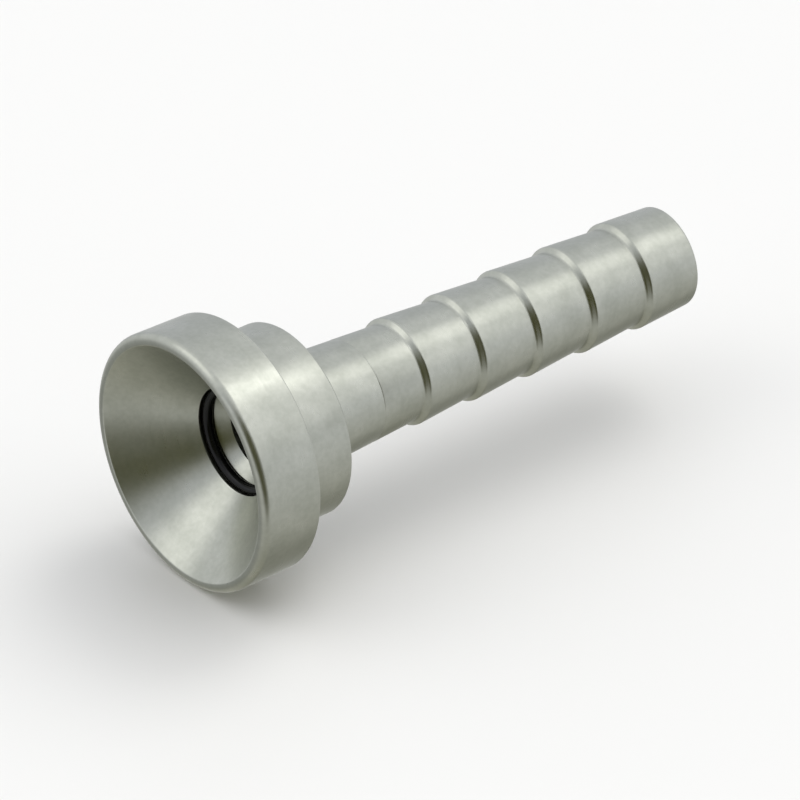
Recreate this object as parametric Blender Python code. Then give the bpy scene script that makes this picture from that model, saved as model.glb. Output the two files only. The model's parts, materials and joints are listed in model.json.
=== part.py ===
"""Barbed gas hose tail: a turned stainless steel fitting with a female cone seat and a seal ring.

The fitting's axis is the X axis. Its mouth plane is x = 0, the origin is the centre of that plane,
and the barbed tail points along +X. Lengths are in metres.
"""
import math

import bmesh
import bpy

MM = 0.001

# Driving dimensions
HEAD_DIAMETER = 20.4 * MM      # passes the inside thread of the common union nut of gas fittings
HOSE_BORE = 8.0 * MM           # inside diameter of the hose that goes over the barbs
TOTAL_LENGTH = 46.3 * MM
BARB_COUNT = 5
RING_INSIDE_DIAMETER = 7.3 * MM
RING_CORD = 0.8 * MM           # thickness of the seal ring's round section
FIT_GAP = 0.15 * MM            # clearance between the ring and its groove

# Head: the wide end, with the cone seat inside it
HEAD_LENGTH = 5.25 * MM
HEAD_RADIUS = HEAD_DIAMETER / 2
HEAD_BACK_RADIUS = HEAD_RADIUS - 0.1 * MM
RIM_WIDTH = 0.85 * MM          # from the cone's mouth to the outside, edge breaks included
RIM_ROUND = 0.6 * MM
MOUTH_ROUND = 0.1 * MM
HEAD_BACK_ROUND = 0.15 * MM

# Collar: the smaller step behind the head
COLLAR_LENGTH = 4.95 * MM
COLLAR_RADIUS = 7.6 * MM
COLLAR_ROUND = 0.2 * MM

# Stem: a tapered neck, then the barbs
NECK_LENGTH = 9.8 * MM
NECK_RADIUS = 4.45 * MM
BARB_PITCH = 5.32 * MM
BARB_FLANK = 0.32 * MM         # axial length of a barb's steep side, which faces the head
CREST_RADIUS = HOSE_BORE / 2 + 0.24 * MM
TROUGH_RADIUS = HOSE_BORE / 2 - 0.12 * MM
CREST_ROUND = 0.1 * MM
TAIL_RADIUS = 3.98 * MM
TAIL_ROUND = 0.22 * MM

# Inside: a cone at 45 degrees to the axis, the ring's groove at its foot, a countersink at the same
# angle behind the ring, and the through bore
CONE_FOOT_RADIUS = 4.3 * MM
LIP_LENGTH = 0.1 * MM          # short straight lip that keeps the ring in its groove
COUNTERSINK_RADIUS = 3.95 * MM
BORE_RADIUS = 3.1 * MM
TAIL_BORE_CHAMFER = 0.2 * MM

# Number of flat sides that stand for a full circle, and steps in a quarter of a rounded edge
SIDES = 48
RING_SECTION_SIDES = 12
ROUND_STEPS = 2


def clear_scene():
    for item in list(bpy.data.objects):
        bpy.data.objects.remove(item)


def metal_material():
    material = bpy.data.materials.new("turned_stainless")
    material.use_nodes = True
    shader = material.node_tree.nodes["Principled BSDF"]
    shader.inputs["Base Color"].default_value = (0.62, 0.62, 0.59, 1)
    shader.inputs["Metallic"].default_value = 1.0
    shader.inputs["Roughness"].default_value = 0.32
    return material


def rubber_material():
    material = bpy.data.materials.new("black_rubber")
    material.use_nodes = True
    shader = material.node_tree.nodes["Principled BSDF"]
    shader.inputs["Base Color"].default_value = (0.012, 0.012, 0.012, 1)
    shader.inputs["Metallic"].default_value = 0.0
    shader.inputs["Roughness"].default_value = 0.4
    return material


def rounded_edge(x, radius, size, start_degrees):
    """Quarter circle of points in the (x, radius) plane that starts at the given direction.

    x and radius are the quarter circle's centre. The points go clockwise, as the outside of a
    turned outline does when it is drawn from the mouth to the tail.
    """
    points = []
    for step in range(ROUND_STEPS + 1):
        angle = math.radians(start_degrees - 90 * step / ROUND_STEPS)
        points.append((x + size * math.cos(angle), radius + size * math.sin(angle)))
    return points


def head_outline():
    """From the cone's mouth over the rim and along the head to its back face."""
    mouth_radius = HEAD_RADIUS - RIM_WIDTH
    outline = [(MOUTH_ROUND, mouth_radius - MOUTH_ROUND), (0, mouth_radius + MOUTH_ROUND)]
    outline += rounded_edge(RIM_ROUND, HEAD_RADIUS - RIM_ROUND, RIM_ROUND, 180)
    outline += rounded_edge(HEAD_LENGTH - HEAD_BACK_ROUND, HEAD_BACK_RADIUS - HEAD_BACK_ROUND,
                            HEAD_BACK_ROUND, 90)
    return outline


def collar_outline():
    """From the foot of the head's back face along the collar to the start of the neck."""
    end = HEAD_LENGTH + COLLAR_LENGTH
    outline = [(HEAD_LENGTH, COLLAR_RADIUS)]
    outline += rounded_edge(end - COLLAR_ROUND, COLLAR_RADIUS - COLLAR_ROUND, COLLAR_ROUND, 90)
    outline.append((end, NECK_RADIUS))
    return outline


def barb_outline(start, last):
    """One barb: its foot, its steep flank, and its crest with a small flat for the worn edge."""
    crest = start + BARB_FLANK
    outline = [
        (start, TROUGH_RADIUS),
        (crest, CREST_RADIUS - CREST_ROUND),
        (crest + CREST_ROUND, CREST_RADIUS),
    ]
    if last:
        outline += rounded_edge(TOTAL_LENGTH - TAIL_ROUND, TAIL_RADIUS - TAIL_ROUND, TAIL_ROUND, 90)
    return outline


def stem_outline():
    first = HEAD_LENGTH + COLLAR_LENGTH + NECK_LENGTH
    outline = []
    for number in range(BARB_COUNT):
        outline += barb_outline(first + number * BARB_PITCH, number == BARB_COUNT - 1)
    return outline


def cone_foot():
    """Distance of the cone's foot from the mouth plane. The cone stands at 45 degrees."""
    return HEAD_RADIUS - RIM_WIDTH - CONE_FOOT_RADIUS


def ring_plane():
    """Distance of the seal ring's middle plane from the mouth plane."""
    return cone_foot() + LIP_LENGTH + FIT_GAP + RING_CORD / 2


def groove_radius():
    return RING_INSIDE_DIAMETER / 2 + RING_CORD + FIT_GAP


def inside_outline():
    """From the tail's end face back through the bore, the countersink and the groove to the cone."""
    groove_start = cone_foot() + LIP_LENGTH
    groove_end = ring_plane() + RING_CORD / 2 + FIT_GAP
    return [
        (TOTAL_LENGTH, BORE_RADIUS + TAIL_BORE_CHAMFER),
        (TOTAL_LENGTH - TAIL_BORE_CHAMFER, BORE_RADIUS),
        (groove_end + COUNTERSINK_RADIUS - BORE_RADIUS, BORE_RADIUS),
        (groove_end, COUNTERSINK_RADIUS),
        (groove_end, groove_radius()),
        (groove_start, groove_radius()),
        (groove_start, CONE_FOOT_RADIUS),
        (cone_foot(), CONE_FOOT_RADIUS),
    ]


def turn(name, outline, material):
    """Spin a closed outline of (x, radius) points once around the X axis."""
    mesh = bpy.data.meshes.new(name)
    shape = bmesh.new()
    points = [shape.verts.new((x, 0, radius)) for x, radius in outline]
    sides = [shape.edges.new(pair) for pair in zip(points, points[1:] + points[:1])]
    bmesh.ops.spin(shape, geom=points + sides, axis=(1, 0, 0), cent=(0, 0, 0),
                   angle=math.tau, steps=SIDES, use_merge=True)
    bmesh.ops.recalc_face_normals(shape, faces=shape.faces)
    shape.to_mesh(mesh)
    shape.free()
    mesh.shade_smooth()
    mesh.set_sharp_from_angle(angle=math.radians(25))
    mesh.materials.append(material)
    item = bpy.data.objects.new(name, mesh)
    bpy.context.collection.objects.link(item)
    return item


def hose_tail_body():
    outline = head_outline() + collar_outline() + stem_outline() + inside_outline()
    return turn("hose_tail_body", outline, metal_material())


def seat_seal_ring():
    section = []
    middle = (RING_INSIDE_DIAMETER + RING_CORD) / 2
    for step in range(RING_SECTION_SIDES):
        angle = math.tau * step / RING_SECTION_SIDES
        section.append((ring_plane() + RING_CORD / 2 * math.cos(angle),
                        middle + RING_CORD / 2 * math.sin(angle)))
    return turn("seat_seal_ring", section, rubber_material())


clear_scene()
hose_tail_body()
seat_seal_ring()
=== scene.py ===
"""The looks of the barbed gas hose tail: fine turned meshes, steel and rubber, a pale studio.

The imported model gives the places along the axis. The fitting's axis is the X axis, its mouth plane
is x = 0 and the barbed tail points along +X. Lengths are in metres.
"""
import json
import math

import bmesh
import bpy
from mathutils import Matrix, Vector


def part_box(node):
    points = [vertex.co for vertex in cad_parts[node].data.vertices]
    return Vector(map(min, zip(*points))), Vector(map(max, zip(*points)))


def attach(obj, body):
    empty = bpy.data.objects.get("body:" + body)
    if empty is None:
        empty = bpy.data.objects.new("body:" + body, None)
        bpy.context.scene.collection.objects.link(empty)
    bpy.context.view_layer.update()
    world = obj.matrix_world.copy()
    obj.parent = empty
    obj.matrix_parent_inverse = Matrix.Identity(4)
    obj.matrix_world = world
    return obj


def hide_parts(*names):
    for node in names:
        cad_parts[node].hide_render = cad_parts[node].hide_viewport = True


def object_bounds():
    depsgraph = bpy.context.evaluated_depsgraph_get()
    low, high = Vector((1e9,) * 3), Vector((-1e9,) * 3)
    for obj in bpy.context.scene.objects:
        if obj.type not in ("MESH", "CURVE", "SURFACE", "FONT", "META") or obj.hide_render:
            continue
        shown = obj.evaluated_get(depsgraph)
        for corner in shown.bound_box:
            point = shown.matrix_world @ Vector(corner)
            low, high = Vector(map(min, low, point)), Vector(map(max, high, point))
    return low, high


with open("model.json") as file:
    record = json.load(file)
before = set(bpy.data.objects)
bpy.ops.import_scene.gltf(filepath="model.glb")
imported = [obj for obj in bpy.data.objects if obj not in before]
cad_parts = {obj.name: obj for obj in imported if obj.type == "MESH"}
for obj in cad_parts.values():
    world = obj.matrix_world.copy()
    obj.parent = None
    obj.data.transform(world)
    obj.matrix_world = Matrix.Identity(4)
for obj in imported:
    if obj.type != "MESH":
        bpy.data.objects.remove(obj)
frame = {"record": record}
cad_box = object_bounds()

MM = 0.001

# Places along the axis and the head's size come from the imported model
MOUNTS = {mount["name"]: mount["pos_m"] for mount in frame["record"]["mounts"]}
HEAD_END = MOUNTS["nut_shoulder"][0]
COLLAR_END = MOUNTS["collar_back_face"][0]
TOTAL_LENGTH = MOUNTS["tail_end_face"][0]
HEAD_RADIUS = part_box("hose_tail_body")[1].z
RING_LOW, RING_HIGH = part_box("seat_seal_ring")
RING_CORD = RING_HIGH.x - RING_LOW.x
RING_PLANE = (RING_HIGH.x + RING_LOW.x) / 2
RING_RADIUS = RING_HIGH.z - RING_CORD / 2

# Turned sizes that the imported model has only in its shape
HEAD_BACK_RADIUS = HEAD_RADIUS - 0.1 * MM
RIM_WIDTH = 0.85 * MM
MOUTH_RADIUS = HEAD_RADIUS - RIM_WIDTH
COLLAR_RADIUS = 7.6 * MM
NECK_LENGTH = 9.8 * MM
NECK_RADIUS = 4.45 * MM
BARB_COUNT = 5
BARB_PITCH = 5.32 * MM
BARB_FLANK = 0.32 * MM         # axial length of a barb's steep side
CREST_RADIUS = 4.24 * MM
TROUGH_RADIUS = 3.88 * MM
TAIL_RADIUS = 3.98 * MM
CONE_FOOT_RADIUS = 4.3 * MM
LIP_LENGTH = 0.1 * MM
FIT_GAP = 0.15 * MM
COUNTERSINK_RADIUS = 3.95 * MM
BORE_RADIUS = 3.1 * MM

# Rounded edges, fillets in corners and the neck's tool line
RIM_ROUND = 0.6 * MM
MOUTH_ROUND = 0.2 * MM
HEAD_BACK_ROUND = 0.15 * MM
COLLAR_ROUND = 0.2 * MM
CORNER_FILLET = 0.12 * MM      # at the foot of each back face
FOOT_FILLET = 0.35 * MM        # at the foot of each barb
CREST_ROUND = 0.25 * MM
TAIL_ROUND = 0.22 * MM
BORE_CHAMFER = 0.2 * MM
TOOL_LINE_DEPTH = 0.03 * MM
TOOL_LINE_WIDTH = 0.18 * MM
TOOL_LINE_SHARE = 0.6          # its place between the collar and the first barb

# Sides of a full turn, steps in each rounded edge, sides of the ring's section, and the angle from
# which an edge is shaded sharp
SIDES = 192
ROUND_STEPS = 6
RING_SECTION_SIDES = 36
SHARP_DEGREES = 35


def arc(x, radius, size, start_degrees, turn_degrees):
    """Points of an arc in the (x, radius) plane. Its centre is given; a negative turn is clockwise."""
    points = []
    for step in range(ROUND_STEPS + 1):
        angle = math.radians(start_degrees + turn_degrees * step / ROUND_STEPS)
        points.append((x + size * math.cos(angle), radius + size * math.sin(angle)))
    return points


def back_edge(x, radius, size):
    """Rounded edge between a cylinder and the back face or end face at x."""
    return arc(x - size, radius - size, size, 90, -90)


def corner(x, radius):
    """Concave fillet where a back face meets the smaller cylinder behind it."""
    return arc(x + CORNER_FILLET, radius + CORNER_FILLET, CORNER_FILLET, 180, 90)


def head_outline():
    """From the cone's mouth over the rim, along the head and down its back face."""
    centre = MOUTH_RADIUS + MOUTH_ROUND * math.tan(math.pi / 8)
    outline = arc(MOUTH_ROUND, centre, MOUTH_ROUND, 225, -45)
    outline += arc(RIM_ROUND, HEAD_RADIUS - RIM_ROUND, RIM_ROUND, 180, -90)
    outline += back_edge(HEAD_END, HEAD_BACK_RADIUS, HEAD_BACK_ROUND)
    return outline


def collar_outline():
    return corner(HEAD_END, COLLAR_RADIUS) + back_edge(COLLAR_END, COLLAR_RADIUS, COLLAR_ROUND)


def neck_outline():
    """Tapered neck with one shallow tool line round it. The taper ends at the first barb's foot."""
    middle = COLLAR_END + NECK_LENGTH * TOOL_LINE_SHARE
    radius = NECK_RADIUS + (TROUGH_RADIUS - NECK_RADIUS) * TOOL_LINE_SHARE
    tool_line = [
        (middle - TOOL_LINE_WIDTH / 2, radius),
        (middle, radius - TOOL_LINE_DEPTH),
        (middle + TOOL_LINE_WIDTH / 2, radius),
    ]
    return corner(COLLAR_END, NECK_RADIUS) + tool_line


def barb_outline(start):
    """Foot, steep side and worn crest of one barb. The taper behind it ends at the next foot."""
    slope = math.atan2(CREST_RADIUS - TROUGH_RADIUS, BARB_FLANK)
    foot = start - FOOT_FILLET * math.tan(slope / 2)
    crest = start + BARB_FLANK + CREST_ROUND * math.tan(slope / 2)
    turn_degrees = math.degrees(slope)
    outline = arc(foot, TROUGH_RADIUS + FOOT_FILLET, FOOT_FILLET, 270, turn_degrees)
    outline += arc(crest, CREST_RADIUS - CREST_ROUND, CREST_ROUND, 90 + turn_degrees, -turn_degrees)
    return outline


def stem_outline():
    first = COLLAR_END + NECK_LENGTH
    outline = []
    for number in range(BARB_COUNT):
        outline += barb_outline(first + number * BARB_PITCH)
    outline += back_edge(TOTAL_LENGTH, TAIL_RADIUS, TAIL_ROUND)
    return outline


def inside_outline():
    """From the tail's end face back through the bore and the ring's groove to the cone's foot."""
    cone_foot = MOUTH_RADIUS - CONE_FOOT_RADIUS
    groove_start = cone_foot + LIP_LENGTH
    groove_end = RING_PLANE + RING_CORD / 2 + FIT_GAP
    groove_radius = RING_HIGH.z + FIT_GAP
    return [
        (TOTAL_LENGTH, BORE_RADIUS + BORE_CHAMFER),
        (TOTAL_LENGTH - BORE_CHAMFER, BORE_RADIUS),
        (groove_end + COUNTERSINK_RADIUS - BORE_RADIUS, BORE_RADIUS),
        (groove_end, COUNTERSINK_RADIUS),
        (groove_end, groove_radius),
        (groove_start, groove_radius),
        (groove_start, CONE_FOOT_RADIUS),
        (cone_foot, CONE_FOOT_RADIUS),
    ]


def turn(name, outline):
    """Spin a closed outline of (x, radius) points once around the X axis."""
    mesh = bpy.data.meshes.new(name)
    shape = bmesh.new()
    points = [shape.verts.new((x, 0, radius)) for x, radius in outline]
    sides = [shape.edges.new(pair) for pair in zip(points, points[1:] + points[:1])]
    bmesh.ops.spin(shape, geom=points + sides, axis=(1, 0, 0), cent=(0, 0, 0),
                   angle=math.tau, steps=SIDES, use_merge=True)
    bmesh.ops.recalc_face_normals(shape, faces=shape.faces)
    shape.to_mesh(mesh)
    shape.free()
    mesh.shade_smooth()
    mesh.set_sharp_from_angle(angle=math.radians(SHARP_DEGREES))
    item = bpy.data.objects.new(name, mesh)
    bpy.context.collection.objects.link(item)
    weighted = item.modifiers.new("weighted_normals", "WEIGHTED_NORMAL")
    weighted.keep_sharp = True
    return item


def add_node(tree, kind, values=None, **settings):
    """New shader node with settings as attributes and values as its inputs: numbers or sockets."""
    node = tree.nodes.new(kind)
    for key, value in settings.items():
        setattr(node, key, value)
    for key, value in (values or {}).items():
        if isinstance(value, bpy.types.NodeSocket):
            tree.links.new(value, node.inputs[key])
        else:
            node.inputs[key].default_value = value
    return node


def new_material(name):
    material = bpy.data.materials.new(name)
    material.use_nodes = True
    tree = material.node_tree
    return material, tree, tree.nodes["Principled BSDF"]


def math_node(tree, operation, first, second=0.0):
    return add_node(tree, "ShaderNodeMath", {0: first, 1: second}, operation=operation).outputs[0]


def turning_coordinates(tree):
    """How far along the turned surface a point is, its direction from the axis (y, z), and its place.

    The first is the place along the axis less most of the radius, so it changes along cylinders,
    across flat faces and down the cone alike.
    """
    place = add_node(tree, "ShaderNodeTexCoord").outputs["Object"]
    split = add_node(tree, "ShaderNodeSeparateXYZ", {0: place})
    flat = add_node(tree, "ShaderNodeCombineXYZ", {"Y": split.outputs["Y"], "Z": split.outputs["Z"]})
    length = add_node(tree, "ShaderNodeVectorMath", {0: flat.outputs[0]}, operation="LENGTH")
    most = math_node(tree, "MULTIPLY", length.outputs["Value"], RADIUS_SHARE)
    along = math_node(tree, "SUBTRACT", split.outputs["X"], most)
    direction = add_node(tree, "ShaderNodeVectorMath", {0: flat.outputs[0]}, operation="NORMALIZE")
    turned = add_node(tree, "ShaderNodeSeparateXYZ", {0: direction.outputs[0]})
    return along, turned.outputs["Y"], turned.outputs["Z"], place


def noise(tree, place, per_metre, detail):
    """Even noise that stays with the piece."""
    return add_node(tree, "ShaderNodeTexNoise", {
        "Vector": place, "Scale": per_metre, "Detail": detail,
    }).outputs["Fac"]


def ring_noise(tree, along, y, z, per_metre, drift, detail):
    """Noise drawn out into rings round the axis. drift is how much it changes once round."""
    vector = add_node(tree, "ShaderNodeCombineXYZ", {
        "X": math_node(tree, "MULTIPLY", along, per_metre),
        "Y": math_node(tree, "MULTIPLY", y, drift),
        "Z": math_node(tree, "MULTIPLY", z, drift),
    })
    return add_node(tree, "ShaderNodeTexNoise", {
        "Vector": vector.outputs[0], "Scale": 1.0, "Detail": detail, "Roughness": 0.6,
    }).outputs["Fac"]


def ramp(tree, factor, low, high, out_low, out_high):
    """Map factor from low..high to out_low..out_high, and hold it there outside."""
    return add_node(tree, "ShaderNodeMapRange", {
        "Value": factor, "From Min": low, "From Max": high, "To Min": out_low, "To Max": out_high,
    }).outputs["Result"]


def mix_colours(tree, factor, first, second):
    """Colour that goes from first to second with the factor. 6, 7 and 2 are the colour sockets."""
    return add_node(tree, "ShaderNodeMix", {
        "Factor": factor, 6: first, 7: second,
    }, data_type="RGBA").outputs[2]


def add_bump(tree, shader, height, distance):
    bump = add_node(tree, "ShaderNodeBump", {"Height": height, "Strength": 1.0, "Distance": distance})
    tree.links.new(bump.outputs[0], shader.inputs["Normal"])


# Steel: noise in steps per metre, its shares in tone and height, colours, roughness and bump
RADIUS_SHARE = 0.9             # what a step away from the axis counts against one along it
FINE_RINGS = 9000
BROAD_RINGS = 1500
CLOUDS = 420
SCUFFS = 2600
CLOUD_TONE = 0.45
SCUFF_TONE = 0.35
RING_TONE = 0.2
STEEL_DARK = (0.378, 0.388, 0.332, 1)
STEEL_LIGHT = (0.474, 0.480, 0.420, 1)
STEEL_SMOOTHEST = 0.26
STEEL_ROUGHEST = 0.30
CLOUD_ROUGHNESS = 0.05         # added where the clouds are dark
FINE_HEIGHT = 0.7
BROAD_HEIGHT = 1.6
SCUFF_HEIGHT = 0.25
STEEL_BUMP = 0.9e-6
STEEL_ANISOTROPY = 0.6
STEEL_GRAIN_TURN = 0.25        # a quarter turn, which draws highlights out across the rings


def steel_material():
    """Satin turned stainless steel: rings from the tool, faint handling marks and cloudy patches."""
    material, tree, shader = new_material("turned_stainless_look")
    along, y, z, place = turning_coordinates(tree)
    fine = ring_noise(tree, along, y, z, FINE_RINGS, drift=1.5, detail=2.0)
    broad = ring_noise(tree, along, y, z, BROAD_RINGS, drift=1.2, detail=3.0)
    cloud = noise(tree, place, CLOUDS, detail=5.0)
    scuff = noise(tree, place, SCUFFS, detail=3.0)

    tone = ramp(tree, cloud, 0.35, 0.65, 0.0, CLOUD_TONE)
    tone = math_node(tree, "ADD", tone, ramp(tree, scuff, 0.35, 0.65, 0.0, SCUFF_TONE))
    tone = math_node(tree, "ADD", tone, ramp(tree, broad, 0.3, 0.7, 0.0, RING_TONE))
    colour = mix_colours(tree, tone, STEEL_DARK, STEEL_LIGHT)
    tree.links.new(colour, shader.inputs["Base Color"])

    rough = ramp(tree, fine, 0.3, 0.7, STEEL_SMOOTHEST, STEEL_ROUGHEST)
    rough = math_node(tree, "ADD", rough, ramp(tree, cloud, 0.35, 0.65, CLOUD_ROUGHNESS, 0.0))
    tree.links.new(rough, shader.inputs["Roughness"])

    height = 0.0
    for layer, share in ((fine, FINE_HEIGHT), (broad, BROAD_HEIGHT), (scuff, SCUFF_HEIGHT)):
        height = math_node(tree, "ADD", math_node(tree, "MULTIPLY", layer, share), height)
    add_bump(tree, shader, height, STEEL_BUMP)

    tangent = add_node(tree, "ShaderNodeTangent", direction_type="RADIAL", axis="X")
    tree.links.new(tangent.outputs[0], shader.inputs["Tangent"])
    shader.inputs["Metallic"].default_value = 1.0
    shader.inputs["Anisotropic"].default_value = STEEL_ANISOTROPY
    shader.inputs["Anisotropic Rotation"].default_value = STEEL_GRAIN_TURN
    return material


# Rubber: noise in steps per metre, colours, roughness, shine and bump
BLOOM = 900
GRAIN = 9000
RUBBER_BLACK = (0.003, 0.003, 0.003, 1)
RUBBER_BLOOM = (0.009, 0.009, 0.008, 1)
RUBBER_SMOOTHEST = 0.12
RUBBER_ROUGHEST = 0.20
RUBBER_SPECULAR = 0.2
RUBBER_BUMP = 3.0e-6


def rubber_material():
    """Black moulded rubber with a faint bloom and a fine uneven surface."""
    material, tree, shader = new_material("black_rubber_look")
    place = add_node(tree, "ShaderNodeTexCoord").outputs["Object"]
    bloom = noise(tree, place, BLOOM, detail=4.0)
    grain = noise(tree, place, GRAIN, detail=2.0)
    colour = mix_colours(tree, ramp(tree, bloom, 0.45, 0.75, 0.0, 1.0), RUBBER_BLACK, RUBBER_BLOOM)
    tree.links.new(colour, shader.inputs["Base Color"])
    rough = ramp(tree, bloom, 0.3, 0.7, RUBBER_SMOOTHEST, RUBBER_ROUGHEST)
    tree.links.new(rough, shader.inputs["Roughness"])
    shader.inputs["Specular IOR Level"].default_value = RUBBER_SPECULAR
    add_bump(tree, shader, grain, RUBBER_BUMP)
    return material


def make_body():
    outline = head_outline() + collar_outline() + neck_outline() + stem_outline() + inside_outline()
    body = turn("turned_body", outline)
    body.data.materials.append(steel_material())
    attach(body, "root")
    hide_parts("hose_tail_body")


def make_ring():
    section = []
    for step in range(RING_SECTION_SIDES):
        angle = math.tau * step / RING_SECTION_SIDES
        section.append((RING_PLANE + RING_CORD / 2 * math.cos(angle),
                        RING_RADIUS + RING_CORD / 2 * math.sin(angle)))
    ring = turn("seal_ring", section)
    ring.data.materials.append(rubber_material())
    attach(ring, "root")
    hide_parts("seat_seal_ring")


# Studio. The steel's bands of tone come from the room, so its lights and shade are set by direction.
FLOOR_RADIUS = 3.0
FLOOR_SEGMENTS = 96
FLOOR_COLOUR = (0.83, 0.815, 0.775, 1)
FLOOR_ROUGHNESS = 0.45


def make_floor():
    """Pale round floor. The steel doesn't reflect it, but the room's lower half in its place."""
    mesh = bpy.data.meshes.new("floor")
    shape = bmesh.new()
    bmesh.ops.create_circle(shape, cap_ends=True, segments=FLOOR_SEGMENTS, radius=FLOOR_RADIUS)
    shape.to_mesh(mesh)
    shape.free()
    floor = bpy.data.objects.new("floor", mesh)
    floor.location = (TOTAL_LENGTH / 2, 0, -HEAD_RADIUS)
    bpy.context.collection.objects.link(floor)
    material, _, shader = new_material("pale_floor")
    shader.inputs["Base Color"].default_value = FLOOR_COLOUR
    shader.inputs["Roughness"].default_value = FLOOR_ROUGHNESS
    mesh.materials.append(material)
    floor.visible_glossy = False


def lobe(tree, direction, towards, inner_degrees, outer_degrees, amount):
    """Light from round one direction: amount inside the inner angle, none outside the outer one."""
    aim = add_node(tree, "ShaderNodeVectorMath", {
        0: direction, 1: Vector(towards).normalized(),
    }, operation="DOT_PRODUCT")
    return add_node(tree, "ShaderNodeMapRange", {
        "Value": aim.outputs["Value"],
        "From Min": math.cos(math.radians(outer_degrees)),
        "From Max": math.cos(math.radians(inner_degrees)),
        "To Min": 0.0,
        "To Max": amount,
    }, interpolation_type="SMOOTHSTEP").outputs["Result"]


ROOM_COLOUR = (1.01, 1.035, 1.10, 1)
GROUND_COLOUR = (0.50, 0.50, 0.44, 1)     # straight below
HORIZON = 0.1                             # upward part of the direction at which that shade ends
SOFT_COLOUR = (1.0, 0.99, 0.97)
# Each broad soft light: direction, inner angle, outer angle and amount, which is negative for shade
SOFT_LIGHTS = [
    ((0.56, -0.44, 0.70), 5, 40, 0.35),
    ((0.53, -0.16, 0.83), 4, 22, 0.65),
    ((-0.60, 0.44, 0.66), 4, 30, 0.75),
    ((0.53, 0.83, 0.15), 5, 38, -0.24),
    ((0.52, 0.10, -0.85), 5, 30, -0.20),
    ((-0.82, 0.0, 0.57), 5, 20, -0.30),
    ((-0.52, 0.66, -0.54), 5, 30, -0.28),
]
# The dark end of the room: direction, inner angle and outer angle of its two parts
DARK_END = [
    ((-0.52, -0.82, 0.22), 24, 54),
    ((-0.92, -0.36, 0.15), 6, 22),
]
DARK_COLOUR = (0.10, 0.10, 0.04, 1)


def make_world():
    """The room: pale above, greyer below, with its soft lights and shade, and one dark end."""
    world = bpy.data.worlds.new("studio")
    world.use_nodes = True
    tree = world.node_tree
    direction = add_node(tree, "ShaderNodeTexCoord").outputs["Generated"]
    level = 0.0
    for towards, inner, outer, amount in SOFT_LIGHTS:
        level = math_node(tree, "ADD", lobe(tree, direction, towards, inner, outer, amount), level)
    soft = add_node(tree, "ShaderNodeVectorMath", {0: SOFT_COLOUR, "Scale": level}, operation="SCALE")
    height = add_node(tree, "ShaderNodeSeparateXYZ", {0: direction}).outputs["Z"]
    room = mix_colours(tree, ramp(tree, height, -1.0, HORIZON, 0.0, 1.0), GROUND_COLOUR, ROOM_COLOUR)
    bright = add_node(tree, "ShaderNodeVectorMath", {0: soft.outputs[0], 1: room}, operation="ADD")
    darkness = 0.0
    for towards, inner, outer in DARK_END:
        part = lobe(tree, direction, towards, inner, outer, 1.0)
        darkness = math_node(tree, "MAXIMUM", part, darkness)
    colour = mix_colours(tree, darkness, bright.outputs[0], DARK_COLOUR)
    tree.links.new(colour, tree.nodes["Background"].inputs["Color"])
    bpy.context.scene.world = world


KEY_DIRECTION = (0.62, 0.16, 0.77)
KEY_ENERGY = 0.6
KEY_DEGREES = 30                          # how wide the light is, for soft shadows


def make_key_light():
    """Soft key light for the floor. The steel reflects the room's soft lights and not this one."""
    data = bpy.data.lights.new("key_light", "SUN")
    data.energy = KEY_ENERGY
    data.angle = math.radians(KEY_DEGREES)
    light = bpy.data.objects.new("key_light", data)
    light.rotation_mode = "QUATERNION"
    light.rotation_quaternion = Vector(KEY_DIRECTION).to_track_quat("Z", "Y")
    light.visible_glossy = False
    bpy.context.collection.objects.link(light)


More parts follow.
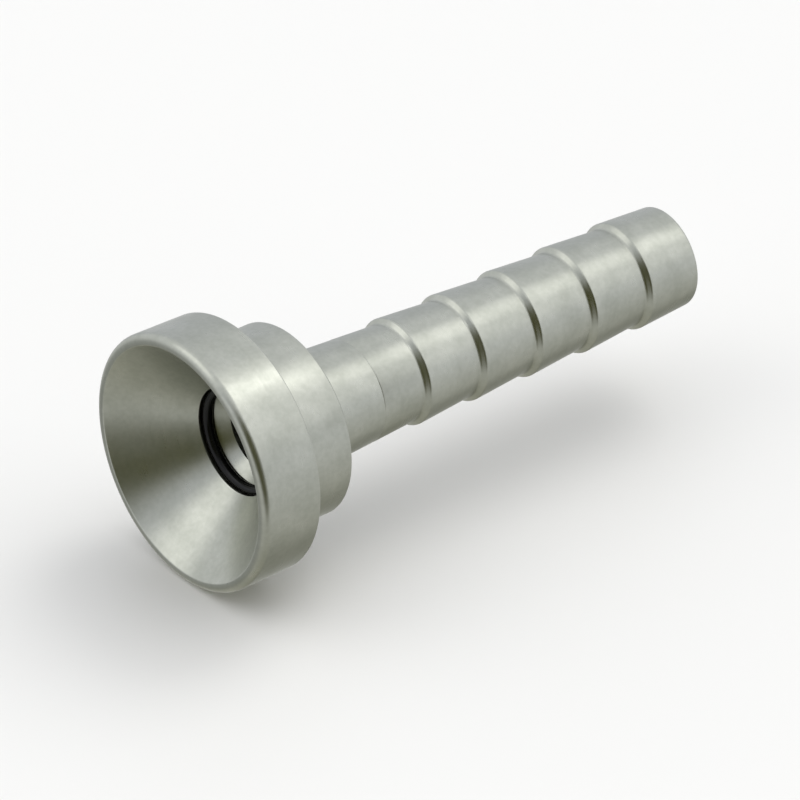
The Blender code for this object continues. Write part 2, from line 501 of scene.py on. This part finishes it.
GLINT_SIDE = (0, -0.54, 0.84)             # the side of the head on which the glint falls
HEAD_LIGHT_DIRECTION = (0.53, -0.16, 0.83)
HEAD_LIGHT_DISTANCE = 25 * MM
HEAD_LIGHT_SIZE = 7 * MM
HEAD_LIGHT_POWER = 0.0002


def make_head_light():
    """Small soft light close above the head. Only reflections show it, as a glint on the head."""
    data = bpy.data.lights.new("head_light", "AREA")
    data.shape = "DISK"
    data.size = HEAD_LIGHT_SIZE
    data.energy = HEAD_LIGHT_POWER
    light = bpy.data.objects.new("head_light", data)
    direction = Vector(HEAD_LIGHT_DIRECTION).normalized()
    glint = Vector((HEAD_END / 2, 0, 0)) + Vector(GLINT_SIDE).normalized() * HEAD_RADIUS
    light.location = glint + direction * HEAD_LIGHT_DISTANCE
    light.rotation_mode = "QUATERNION"
    light.rotation_quaternion = direction.to_track_quat("Z", "Y")
    light.visible_camera = False
    light.visible_diffuse = False
    bpy.context.collection.objects.link(light)


CAMERA_AZIMUTH = -38.6
CAMERA_ELEVATION = 32.8
LENS_MM = 600
SENSOR_MM = 36
FRAME_WIDTH = 59.6 * MM                   # width of the view at the object
AIM_RIGHT = -1.91 * MM                    # the view's centre from the middle of the object's box
AIM_UP = -3.04 * MM


def make_camera():
    azimuth = math.radians(CAMERA_AZIMUTH)
    elevation = math.radians(CAMERA_ELEVATION)
    level = math.cos(elevation)
    back = Vector((math.sin(azimuth) * level, -math.cos(azimuth) * level, math.sin(elevation)))
    right = Vector((math.cos(azimuth), math.sin(azimuth), 0))
    up = back.cross(right)
    middle = (cad_box[0] + cad_box[1]) / 2
    aim = middle + right * AIM_RIGHT + up * AIM_UP
    data = bpy.data.cameras.new("camera")
    data.lens = LENS_MM
    data.sensor_width = SENSOR_MM
    distance = FRAME_WIDTH * LENS_MM / SENSOR_MM
    data.clip_start = distance * 0.1
    data.clip_end = distance * 5
    camera = bpy.data.objects.new("camera", data)
    camera.location = aim + back * distance
    camera.rotation_mode = "QUATERNION"
    camera.rotation_quaternion = (-back).to_track_quat("-Z", "Y")
    bpy.context.collection.objects.link(camera)
    bpy.context.scene.camera = camera


make_body()
make_ring()
make_floor()
make_world()
make_key_light()
make_head_light()
make_camera()
bpy.context.scene.view_settings.view_transform = "Standard"
